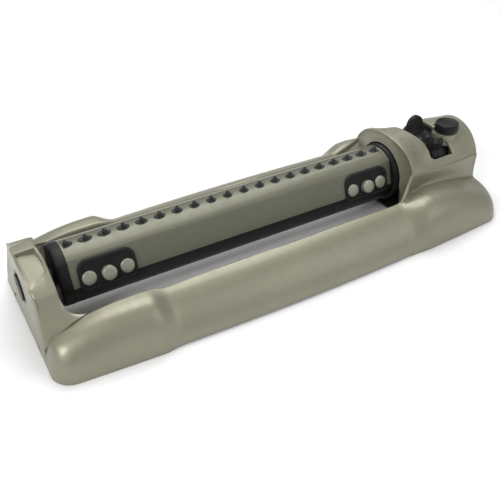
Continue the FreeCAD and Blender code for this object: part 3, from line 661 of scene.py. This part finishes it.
def tower_slope_rows():
    """Top and sloped side of the tower with its sunk panel, as rows from the middle out."""
    rows = []
    for y in (0.0, 3.5, 5.8, 6.8):
        inner, outer = table(TOWER_INNER, y), table(TOWER_OUTER, y)
        rows.append([(lerp(inner, outer, u), -y * (1 - 0.37 * u),
                      TOWER_TOP - 0.25 * max(0.0, y - 5.5) - TOWER_TILT * u)
                     for u in TOWER_ACROSS])
    shares = (0.0, 0.02, 0.2, 0.4, 0.6, 0.8, 0.97, 1.0)
    for n, share in enumerate(shares):
        row = []
        for k, u in enumerate(TOWER_ACROSS):
            low = lerp(27.0, 36.5, min(1.0, max(0.0, (u - 0.12) / 0.85)))
            high = PANEL_TOP * (1 - 0.37 * u)
            y = lerp(high, low, share)
            x = lerp(table(TOWER_INNER, y), table(TOWER_OUTER, y), u)
            z = lerp(slope_height(PANEL_TOP) - TOWER_TILT * u, slope_height(low), share)
            sunk = 3 <= k <= 6 and 0 < n < len(shares) - 1
            depth = lerp(4.6, 2.2, (u - 0.14) / 0.8) * (1 - share) ** 0.8 + 0.12 if sunk else 0.0
            row.append((x, -(y - depth * 0.3), z - depth))
        rows.append(row)
    for y in (38.5, 40.8, 42.4):
        inner, outer = table(TOWER_INNER, y), table(TOWER_OUTER, y)
        rows.append([(lerp(inner, outer, u), -y, slope_height(y))
                     for u in TOWER_ACROSS])
    return rows


TOWER_FRONT = [(-218, 43.4, 59.4), (-218, 45.2, 55.6), (-217.4, 47.8, 51.0), (-215.4, 50.8, 46.8),
               (-211.8, 53.4, 43.8), (-207.0, 55.0, 42.0), (-201.5, 55.9, 41.0)]
TOWER_BACK = [(-237.6, 43.4, 59.4), (-237.7, 45.6, 55.6), (-238.0, 48.4, 50.2), (-238.5, 51.5, 44.0),
              (-239.3, 54.5, 36.5), (-240.4, 57.0, 29.0), (-241.5, 58.6, 21.0)]


def tower_side_rows():
    """Side of the tower under its bend, flared into the foot."""
    rows = []
    for i in range(11):
        t = i / 10
        front, back = path_point(TOWER_FRONT, t), path_point(TOWER_BACK, t)
        row = []
        for u in TOWER_ACROSS:
            bulge = 4 * u * (1 - u) * t * t
            row.append((lerp(front[0], back[0], u), -(lerp(front[1], back[1], u) + 3.0 * bulge),
                        lerp(front[2], back[2], u) + 6.6 * bulge))
        rows.append(row)
    rows.append([(x, y * 0.985, z - 4) for x, y, z in rows[-1]])
    rows.append([(lerp(TOWER_IN, -size("end"), u), -57, 1.0)
                 for u in TOWER_ACROSS])
    rows.append([(lerp(TOWER_IN, -size("end"), u), 0, 1.0)
                 for u in TOWER_ACROSS])
    return rows


def tower_rows():
    """Whole half of the tower: bearing face, inner edge, sides, outer edge, sunk plug seat."""
    sides = tower_slope_rows() + tower_side_rows()
    rows = []
    for n, row in enumerate(sides):
        turn = math.pi * n / (len(sides) - 1)
        ring = (-math.sin(turn), math.cos(turn))
        near, far = row[0], row[-1]

        def inward(point, x, share, radius):
            return (x, lerp(point[1], ring[0] * radius, share),
                    lerp(point[2], AXIS + ring[1] * radius, share))

        face = min(near[0], TOWER_IN) if near[2] > 50 else near[0]
        start = [inward(near, TOWER_IN + 0.6, 1.0, 12.6), inward(near, TOWER_IN, 0.97, 13),
                 inward(near, (near[0] + face) / 2, 0.5, 13), inward(near, near[0], 0.03, 13)]
        if n >= len(tower_slope_rows()):
            start[2:] = [(TOWER_IN, near[1] * 0.8, 9.0), (near[0], near[1], min(9.0, near[2]))]
        bevel = 0.7
        first = (near[0] - bevel, near[1], near[2])
        last = (far[0] + bevel, far[1], far[2])
        stop = [inward(far, far[0], 0.03, 17), inward(far, lerp(far[0], -240, 0.6), 0.5, 17),
                inward(far, -240.2, 0.97, 17), inward(far, -240.0, 1.0, 16.2),
                inward(far, -238.6, 1.0, 14.8), inward(far, -237.0, 1.0, 14.4),
                inward(far, -237.0, 1.0, 12.2)]
        rows.append(start + [first] + row[1:-1] + [last] + stop)
    return rows


def end_wall_rows():
    """Half of the wall round the hose opening at the motor end."""
    outline = [(37, 53.9), (37, 44), (37, 30), (37, 12), (30, 5.5), (15, 5.5), (0, 5.5)]
    rows = []
    for i in range(17):
        t = i / 16
        y, z = path_point(outline, t)
        turn = math.radians(lerp(62.6, 180, t))
        hole = (21.5 * math.sin(turn), AXIS + 21.5 * math.cos(turn))
        rows.append([(x, -lerp(y, hole[0], share), lerp(z, hole[1], share))
                     for x, share in ((238.6, 0.0), (241.2, 0.0), (241.9, 0.04), (241.9, 0.94),
                                      (241.2, 1.0), (238.6, 1.0), (238.6, 0.5), (238.6, 0.0))])
    return rows


def base_half():
    """The sheets that make the near half of the base."""
    sheets = [grid_sheet("rail half", in_metres([rail_row(x) for x in rail_stations()])),
              grid_sheet("motor half", in_metres([motor_row(x) for x in motor_stations()])),
              grid_sheet("collar half", in_metres(collar_rows())),
              grid_sheet("tower half", in_metres(tower_rows())),
              grid_sheet("end wall half", in_metres(end_wall_rows()))]
    for sheet in sheets:
        edit(sheet, lambda: bpy.ops.mesh.remove_doubles(threshold=0.00001))
    return sheets


class SPRINKLER_OT_base(bpy.types.Operator):
    """Bowed base with feet, bearing tower, collar and housing walls"""
    bl_idname = "sprinkler.base"
    bl_label = "Base"

    def execute(self, context):
        base = join(base_half(), 0.000001)
        apply_modifier(base, "MIRROR", use_axis=(False, True, False), merge_threshold=0.00003)
        outward(base)
        apply_modifier(base, "SOLIDIFY", thickness=0.0012, offset=-1)
        smooth(base, 34)
        finish_piece(base, "base_skin", "base", "champagne_metal", "base_shell")
        return {"FINISHED"}


# ------------------------------------------------------------------ gear cover

SLOT_EDGE = ((-64, 167.5, 198.0), (-40, 166.5, 199.0), (0, 166.2, 199.5), (12, 168.4, 199.3),
             (20, 171.0, 199.5), (28, 173.6, 200.5), (36, 175.4, 202.2), (46, 176.2, 204.0),
             (57, 176.4, 205.4), (62, 180.6, 205.8))
KNOB_SPOT = (210.5, -16.0)
MARK_SPOTS = ((150, -40), (150, -20), (153, 0), (153, 18), (157, 33))


def hood_point(x, turn, lift=0.0):
    """Point on the hood's outside at x and an angle from straight up, in degrees."""
    taper = 1.0 * blend_step(160, 200, x) + 3.0 * blend_step(206, 242, x)
    radius = size("dome_radius") - taper + lift
    end = math.degrees(math.acos((LEDGE - AXIS) / (radius - lift)))
    share = turn / 76.0
    angle = math.radians(share * end)
    round_y, round_z = radius * math.sin(angle), AXIS + radius * math.cos(angle)
    line = crease_line()[:9]
    flare = path_point(line, abs(share))
    flare_y = math.copysign(flare[1], share) if share else 0.0
    fade = blend_step(142.6, 166, x)
    return (x, -lerp(flare_y, round_y, fade), lerp(flare[2] + lift * 0.7, round_z, fade))


def hood_columns():
    """Angles across the hood, with the ends of the slot among them."""
    return [-76, -74, -71, -67.5, -64.6, -64, -56, -48, -40, -32, -24, -16, -8, 0, 7, 15, 21, 27, 34, 41,
            46.5, 52, 57, 62, 62.6, 66, 70, 73, 76]


def slot_sides(turn):
    clamped = min(62, max(-64, turn))
    return table(SLOT_EDGE, clamped), table(SLOT_EDGE, clamped, 2)


def hood_sheet(name):
    """Hood surface as one grid, with the faces over the slot taken out."""
    columns = hood_columns()
    rows = []
    before = [142.8, 144, 146, 149, 152, 156, 160]
    after = [0.08, 0.2, 0.35, 0.5, 0.65, 0.8, 0.9, 0.96, 0.985, 1.0]
    for turn in columns:
        left, right = slot_sides(turn)
        places = before + [lerp(160, left, share) for share in (0.5, 0.9, 1.0)]
        places += [lerp(left, right, share) for share in (0.25, 0.5, 0.75)]
        places += [lerp(right, size("end"), share) for share in [0.0, 0.02] + after]
        line = [hood_point(x, turn) for x in places]
        rows.append(line)
    sheet = grid_sheet(name, in_metres(rows))
    count = len(rows[0])
    slot_from, slot_to = 9, 13
    row_from, row_to = columns.index(-64), columns.index(62)
    only(sheet)
    for face in sheet.data.polygons:
        spots = [(v // count, v % count) for v in face.vertices]
        inside = all(row_from <= r <= row_to and slot_from <= c <= slot_to for r, c in spots)
        face.select = inside
    select_faces_and(sheet, lambda: bpy.ops.mesh.delete(type="FACE"))
    return sheet


def select_faces_and(obj, *steps):
    """Run edit-mode operators on the faces already marked as selected."""
    marks = [face.select for face in obj.data.polygons]
    only(obj)
    bpy.ops.object.mode_set(mode="EDIT")
    bpy.ops.mesh.select_mode(type="FACE")
    bpy.ops.mesh.select_all(action="DESELECT")
    bpy.ops.object.mode_set(mode="OBJECT")
    for face, mark in zip(obj.data.polygons, marks):
        face.select = mark
    bpy.ops.object.mode_set(mode="EDIT")
    for step in steps:
        step()
    bpy.ops.object.mode_set(mode="OBJECT")


class SPRINKLER_OT_gear_cover(bpy.types.Operator):
    """Arched cover of the motor with its slot and the seat of the flow knob"""
    bl_idname = "sprinkler.gear_cover"
    bl_label = "Gear cover"

    def execute(self, context):
        hood = hood_sheet("hood")
        outward(hood)
        apply_modifier(hood, "SOLIDIFY", thickness=2.6 * MM, offset=-1.0, use_even_offset=True)
        apply_modifier(hood, "BEVEL", width=0.5 * MM, segments=2, limit_method="ANGLE",
                       angle_limit=math.radians(50))
        cutter = turned("pocket", ((13.5, 79.2), (13.5, 95.0)), 64, KNOB_SPOT)
        cut_by(hood, cutter, "DIFFERENCE")
        seat = turned("knob seat", ((14.5, 74.0), (14.5, 79.2)), 64, KNOB_SPOT)
        roof = turned("roof", ((39.2, 180.0), (39.2, 241.0)), 72, along_x=True)
        cut_by(seat, roof, "INTERSECT")
        boss = turned("knob boss", ((11.4, 68.0), (11.4, 79.0), (10.8, 79.6)), 48, KNOB_SPOT)
        seat = join([seat, boss], NO_MERGE)
        marks = [hood_mark(x, turn) for x, turn in MARK_SPOTS]
        cover = join([hood, seat] + marks, 0.000001)
        smooth(cover, 36)
        finish_piece(cover, "hood", "base", "champagne_metal", "gear_cover")
        return {"FINISHED"}


def hood_mark(x, turn):
    """Low moulded dash on the hood that marks a setting of the range tabs."""
    rows = []
    for n, dx in enumerate((-2.6, -2.3, 2.3, 2.6)):
        rows.append([hood_point(x + dx, turn + dt, 0.45 if 0 < n < 3 and abs(dt) < 0.9 else -0.5)
                     for dt in (-1.2, -0.8, 0.8, 1.2)])
    mark = grid_sheet("mark", in_metres(rows))
    fill_holes(mark)
    return mark


def cut_by(obj, tool, operation):
    """Cut a piece with a tool solid and drop the tool."""
    apply_modifier(obj, "BOOLEAN", operation=operation, object=tool, solver="EXACT")
    bpy.data.objects.remove(tool)


# ------------------------------------------------------------------ turned and plate-like pieces

def turned(name, profile, count, centre=(0.0, 0.0), along_x=False, knurl=0.0, knurl_from=0.0):
    """Solid of revolution from (radius, place) points, about Z at centre or along the tube axis."""
    rows = []
    for i in range(count):
        turn = 2 * math.pi * i / count
        row = []
        for radius, place in profile:
            r = radius - (knurl if i % 2 and radius > knurl_from else 0.0)
            if along_x:
                row.append((place, r * math.sin(turn), AXIS + r * math.cos(turn)))
            else:
                row.append((centre[0] + r * math.cos(turn), centre[1] + r * math.sin(turn), place))
        rows.append(row)
    piece = grid_sheet(name, in_metres(rows), close=True)
    edit(piece, lambda: bpy.ops.mesh.remove_doubles(threshold=0.000002))
    fill_holes(piece)
    return piece


def fill_holes(piece):
    """Close the open rings of a piece."""
    edit(piece, lambda: bpy.ops.mesh.fill_holes(sides=0))
    outward(piece)


def rounded_box(half_x, top, bottom, top_corner, low_corner, inset=0.0):
    """Outline of a box with round corners, as (x, s) points, s downwards."""
    points = []
    for cx, cs, radius, start in ((half_x, bottom, low_corner, 0), (-half_x, bottom, low_corner, 90),
                                  (-half_x, top, top_corner, 180), (half_x, top, top_corner, 270)):
        radius = max(0.3, radius)
        mx = cx - math.copysign(radius, cx)
        ms = cs - radius if cs == bottom else cs + radius
        for a in range(0, 91, 15):
            turn = math.radians(start + a)
            reach = radius - inset
            points.append((mx + reach * math.cos(turn), ms + reach * math.sin(turn)))
    return points


RUN = Vector((0.0, -8.1, -23.8)).normalized()
OUT = Vector((0.0, RUN.z, -RUN.y))
FACET = Vector((0.0, -17.2, 66.8))


def on_facet(x, s, n):
    """Point on the tube cover's front facet, s down it and n out of it."""
    place = FACET + RUN * s + OUT * n
    return (x, place.y, place.z)


def stack(name, loops):
    """Skin through closed loops of points, with both ends closed."""
    rows = [list(loop) + [loop[0]] for loop in loops]
    piece = grid_sheet(name, in_metres(rows))
    edit(piece, lambda: bpy.ops.mesh.remove_doubles(threshold=0.000002))
    fill_holes(piece)
    return piece


# ------------------------------------------------------------------ spray tube

TUBE_START = -202.0
TUBE_END = 135.5
NOZZLES = 20
JET_PROFILE = ((2.6, 0.1), (2.45, 0.8), (1.9, 3.2), (1.55, 4.0), (1.0, 4.3), (0.75, 4.3), (0.7, 2.8))


def cover_half(inset=0.0, groove=0.0):
    """Half section of the tube cover from its middle to its lower edge, as (y, z) points."""
    radius = size("cover_radius") - inset
    points = [(0.0, AXIS + radius - groove)]
    for y, square, share in ((4.0, 16, 1.0), (7.6, 57.8, 1.0), (8.0, 64, 0.5), (8.4, 70.6, 0.0)):
        points.append((y, AXIS + math.sqrt(radius ** 2 - square) - groove * share))
    for a in (22, 27, 31, 34, 36, 37):
        points.append((radius * math.sin(math.radians(a)), AXIS + radius * math.cos(math.radians(a))))
    points += [(17.75 - inset, 65.6), (18.15 - inset, 64.2), (19.9 - inset, 59.0), (21.7 - inset, 53.6),
               (23.4 - inset, 48.6), (25.3 - inset, 43.0)]
    return points


def cover_section(x, inset, groove):
    half = cover_half(inset, groove)
    return [(x, -y, z) for y, z in reversed(half)] + [(x, y, z) for y, z in half[1:]]


class SPRINKLER_OT_tube(bpy.types.Operator):
    """Bent cover of the spray tube, its black trough, end cap and hub"""
    bl_idname = "sprinkler.tube"
    bl_label = "Tube"

    def execute(self, context):
        first, last = TUBE_START + 2.6, TUBE_END - 4.0
        rows = [cover_section(TUBE_START, 1.6, 0.0), cover_section(TUBE_START, 0.4, 0.0),
                cover_section(TUBE_START + 0.4, 0.0, 0.0), cover_section(first - 0.4, 0.0, 0.0),
                cover_section(first, 0.0, 0.9)]
        rows += [cover_section(x, 0.0, 0.9) for x in spread(first, last, 30)[1:]]
        rows += [cover_section(last + 0.4, 0.0, 0.0), cover_section(TUBE_END - 0.4, 0.0, 0.0),
                 cover_section(TUBE_END, 0.4, 0.0), cover_section(TUBE_END, 1.6, 0.0)]
        cover = grid_sheet("tube cover", in_metres(rows))
        outward(cover)
        apply_modifier(cover, "SOLIDIFY", thickness=0.0010, offset=-1)
        smooth(cover, 24)
        finish_piece(cover, "tube_top", "spray_tube", "tube_metal", "tube_cover")
        trough = [(24.6, 43.5), (24.8, 38.0), (23.6, 31.0), (20.6, 25.0), (15.5, 20.8),
                  (8.0, 19.2), (0.0, 19.0)]
        loop = [(-y, z) for y, z in trough] + [(y, z) for y, z in reversed(trough[:-1])]
        ends = ((TUBE_START + 0.3, 0.90), (TUBE_START + 0.3, 1.0),
                (TUBE_END - 0.3, 1.0), (TUBE_END - 0.3, 0.90))
        body = stack("trough", [[(x, y * k, AXIS + (z - AXIS) * k) for y, z in loop] for x, k in ends])
        smooth(body, 40)
        finish_piece(body, "tube_trough", "spray_tube", "black_plastic", "tube_body")
        half = cover_half()[0:1] + cover_half()[4:]
        whole = [(-y, z) for y, z in half] + [(-y, z) for y, z in trough[1:]]
        whole += [(y, z) for y, z in reversed(trough[1:-1])] + [(y, z) for y, z in reversed(half[1:])]
        steps = ((-212.0, 0.55), (-212.0, 0.88), (-211.7, 0.945), (-210.9, 0.985), (-209.6, 1.004),
                 (-203.0, 1.010), (-202.3, 1.004), (-202.2, 0.93))
        cap = stack("cap", [[(x, y * k, AXIS + (z - AXIS) * k) for y, z in whole] for x, k in steps])
        smooth(cap, 40)
        finish_piece(cap, "tube_cap", "spray_tube", "black_plastic", "end_cap")
        hub = turned("hub", ((11.0, 136.2), (26.5, 136.0), (28.4, 135.8), (29.4, 136.2), (30.0, 137.4),
                             (30.0, 147.6), (29.4, 148.4), (27.5, 148.4), (27.5, 139.5),
                              (11.0, 139.5)), 72, along_x=True)
        smooth(hub, 40)
        finish_piece(hub, "tube_hub", "spray_tube", "black_plastic", "end_hub")
        return {"FINISHED"}


class SPRINKLER_OT_nozzles(bpy.types.Operator):
    """Row of soft jets, each leaning out more towards the ends"""
    bl_idname = "sprinkler.nozzles"
    bl_label = "Nozzles"

    def execute(self, context):
        made = []
        for i in range(NOZZLES):
            x = -195.5 + 17 * i
            share = (i - (NOZZLES - 1) / 2) / ((NOZZLES - 1) / 2)
            lean = math.radians(24 * share)
            reach = 4.6 + 2.0 * abs(share)
            shift = 1.5 * share
            base = AXIS + size("cover_radius") - 0.9
            loops = []
            for long, wide, z in ((reach, 3.9, -1.2), (reach, 3.9, 0.25), (reach - 0.35, 3.55, 0.45),
                                  (reach - 1.0, 2.8, 0.1)):
                loops.append([(x + shift + long * math.cos(a), wide * math.sin(a), base + z)
                              for a in ring_angles(20)])
            for radius, height in JET_PROFILE:
                loops.append([(x + radius * math.cos(a) * math.cos(lean) + height * math.sin(lean),
                               radius * math.sin(a),
                               base + height * math.cos(lean)
                               - radius * math.cos(a) * math.sin(lean) * min(1.0, height / 3))
                              for a in ring_angles(20)])
            made.append(stack("nozzle", loops))
        row = join(made, NO_MERGE)
        smooth(row, 40)
        finish_piece(row, "nozzle_row", "spray_tube", "soft_rubber", "nozzles", "nozzle_strip")
        return {"FINISHED"}


def ring_angles(count):
    return [2 * math.pi * i / count for i in range(count)]


PODS = {"left": -170.5, "right": 103.0}


def drill_sleeves(x, pieces):
    """Bore for one zone button through the pod and the cover under it."""
    for piece in pieces:
        bore = stack("bore", [[on_facet(x + 6.75 * math.cos(a), 18.8 - 6.75 * math.sin(a), n)
                               for a in ring_angles(40)] for n in (-4.2, 5.0)])
        outward(bore)
        cut_by(piece, bore, "DIFFERENCE")


class SPRINKLER_OT_zone_buttons(bpy.types.Operator):
    """Pods on the tube's front facet and their six buttons"""
    bl_idname = "sprinkler.zone_buttons"
    bl_label = "Zone buttons"

    def execute(self, context):
        for side, centre in PODS.items():
            steps = ((0.0, -3.0), (0.0, 1.5), (0.25, 2.1), (0.8, 2.4), (2.6, 2.4), (3.2, 2.1), (3.5, 1.2))
            loops = []
            for inset, n in steps:
                outline = rounded_box(25.5, 2.2, 30.6, 9.5, 3.5, inset)
                loops.append([on_facet(centre + px, ps, n) for px, ps in outline])
            pod = stack("pod", loops)
            for i in (1, 2, 3):
                drill_sleeves(centre + 17.0 * (i - 2), (pod, bpy.data.objects["tube_top"]))
            smooth(pod, 40)
            finish_piece(pod, "pod_" + side, "spray_tube", "black_plastic", "button_pod_" + side)
            for i in (1, 2, 3):
                rise = 6.1 if i == 2 else 2.6
                x = centre + 17.0 * (i - 2)
                loops = [[on_facet(x + r * math.cos(a), 18.8 - r * math.sin(a), n) for a in ring_angles(40)]
                         for r, n in ((6.45, 1.1), (6.45, rise - 1.0), (6.3, rise - 0.45), (5.8, rise - 0.08),
                                      (5.0, rise + 0.1), (3.4, rise + 0.28), (1.6, rise + 0.36))]
                button = stack("button", loops)
                smooth(button, 45)
                name = "button_%s_%d" % (side, i)
                finish_piece(button, "cap_" + name, name, "button_silver", name)
        return {"FINISHED"}


# ------------------------------------------------------------------ controls

FIN_TOP = 52.0
TABS = (("rear", -4.0, 173.05, 182.8, 9.6), ("front", 40.0, 183.05, 186.2, 6.8))


def fin(name, turn, middle, wide):
    """Thumb fin of a range tab, leaning forward by an angle in degrees, with its saddle."""
    outline = [(-wide - 2.0, 34.6), (-wide - 1.8, 36.4), (-wide - 0.8, 39.0), (-wide - 0.2, 41.0)]
    outline += [(wide * math.cos(math.radians(a)), FIN_TOP - wide + wide * math.sin(math.radians(a)))
                for a in range(180, -1, -12)]
    outline += [(-px, r) for px, r in reversed(outline[:4])]
    lean = math.radians(turn)
    loops = []
    for n, inset in ((-2.8, 1.8), (-2.6, 0.8), (-1.8, 0.0), (1.8, 0.0), (2.6, 0.8), (2.8, 1.8)):
        loop = []
        for px, r in outline:
            k = 1 - inset / 12.5
            rr = 34.6 + (r - 34.6) * k
            flare = 2.6 * math.exp(-(r - 34.6) / 3.0) * math.copysign(1, n)
            y = (n + flare) * math.cos(lean) + rr * math.sin(lean)
            z = rr * math.cos(lean) - (n + flare) * math.sin(lean)
            loop.append((middle + px * k, -y, AXIS + z))
        loops.append(loop)
    return stack(name, loops)


def tab_ring(x0):
    """Ribbed ring of a range tab round the motor case."""
    rows = []
    for i in range(180):
        angle = 2 * math.pi * i / 180
        rib = 0.55 if i % 6 < 2 else 0.0
        rows.append([(x, r * math.sin(angle), AXIS + r * math.cos(angle))
                     for r, x in ((33.1, x0), (34.4, x0), (34.9, x0 + 0.4), (34.4 + rib, x0 + 1.2),
                                  (34.4 + rib, x0 + 8.3), (34.9, x0 + 9.1), (34.4, x0 + 9.5),
                                  (33.1, x0 + 9.5), (33.1, x0))])
    ring = grid_sheet("ring", in_metres(rows), close=True)
    edit(ring, lambda: bpy.ops.mesh.remove_doubles(threshold=0.000002))
    outward(ring)
    return ring


class SPRINKLER_OT_controls(bpy.types.Operator):
    """Range tabs and flow knob"""
    bl_idname = "sprinkler.controls"
    bl_label = "Controls"

    def execute(self, context):
        for name, turn, x0, middle, wide in TABS:
            tab = join([fin("fin", turn, middle, wide), tab_ring(x0)], NO_MERGE)
            smooth(tab, 40)
            finish_piece(tab, "tab_" + name, name + "_tab", "black_plastic", "range_tab_" + name)
        profile = ((0.4, 89.35), (6.0, 89.35), (8.6, 89.45), (9.4, 89.95), (10.4, 90.0),
                   (11.5, 89.6), (12.1, 88.6), (12.4, 86.0), (12.4, 83.0), (12.0, 81.2),
                   (11.2, 80.3), (0.4, 80.3))
        knob = turned("knob", profile, 72, KNOB_SPOT, knurl=0.38, knurl_from=12.05)
        corners = ((-0.7, 1.5), (0.7, 1.5), (0.7, 8.0), (-0.7, 8.0))
        pointer = stack("pointer", [[(KNOB_SPOT[0] + px, KNOB_SPOT[1] + py, z) for px, py in corners]
                                    for z in (89.2, 89.75)])
        knob = join([knob, pointer], NO_MERGE)
        smooth(knob, 35)
        finish_piece(knob, "knob", "flow_knob", "black_plastic", "flow_knob")
        return {"FINISHED"}


# ------------------------------------------------------------------ carried-over nodes

class SPRINKLER_OT_frame_finishes(bpy.types.Operator):
    """Finishes of the parts that keep their shape"""
    bl_idname = "sprinkler.frame_finishes"
    bl_label = "Frame finishes"

    def execute(self, context):
        for part in frame["record"]["subparts"]:
            wear(frame["nodes"][part["node"]], part["material_slot"])
        return {"FINISHED"}


class SPRINKLER_PT_panel(bpy.types.Panel):
    """Lists the pieces and their sizes"""
    bl_label = "Sprinkler"
    bl_idname = "SPRINKLER_PT_panel"
    bl_space_type = "VIEW_3D"
    bl_region_type = "UI"
    bl_category = "Sprinkler"

    def draw(self, context):
        for group in (sizes(), colours()):
            for name in group.bl_rna.properties.keys():
                if name not in ("rna_type", "name"):
                    self.layout.prop(group, name)
        for operator in OPERATORS:
            self.layout.operator(operator.bl_idname)


OPERATORS = (
    SPRINKLER_OT_stage,
    SPRINKLER_OT_frame_finishes,
    SPRINKLER_OT_base,
    SPRINKLER_OT_gear_cover,
    SPRINKLER_OT_tube,
    SPRINKLER_OT_nozzles,
    SPRINKLER_OT_zone_buttons,
    SPRINKLER_OT_controls,
)
CLASSES = (SprinklerSizes, SprinklerColours) + OPERATORS + (SPRINKLER_PT_panel,)


def register():
    for cls in CLASSES:
        bpy.utils.register_class(cls)
    bpy.types.Scene.sprinkler_sizes = bpy.props.PointerProperty(type=SprinklerSizes)
    bpy.types.Scene.sprinkler_colours = bpy.props.PointerProperty(type=SprinklerColours)


def unregister():
    del bpy.types.Scene.sprinkler_sizes
    del bpy.types.Scene.sprinkler_colours
    for cls in reversed(CLASSES):
        bpy.utils.unregister_class(cls)


def main():
    register()
    for operator in OPERATORS:
        family, name = operator.bl_idname.split(".")
        getattr(getattr(bpy.ops, family), name)()


if __name__ == "__main__":
    main()
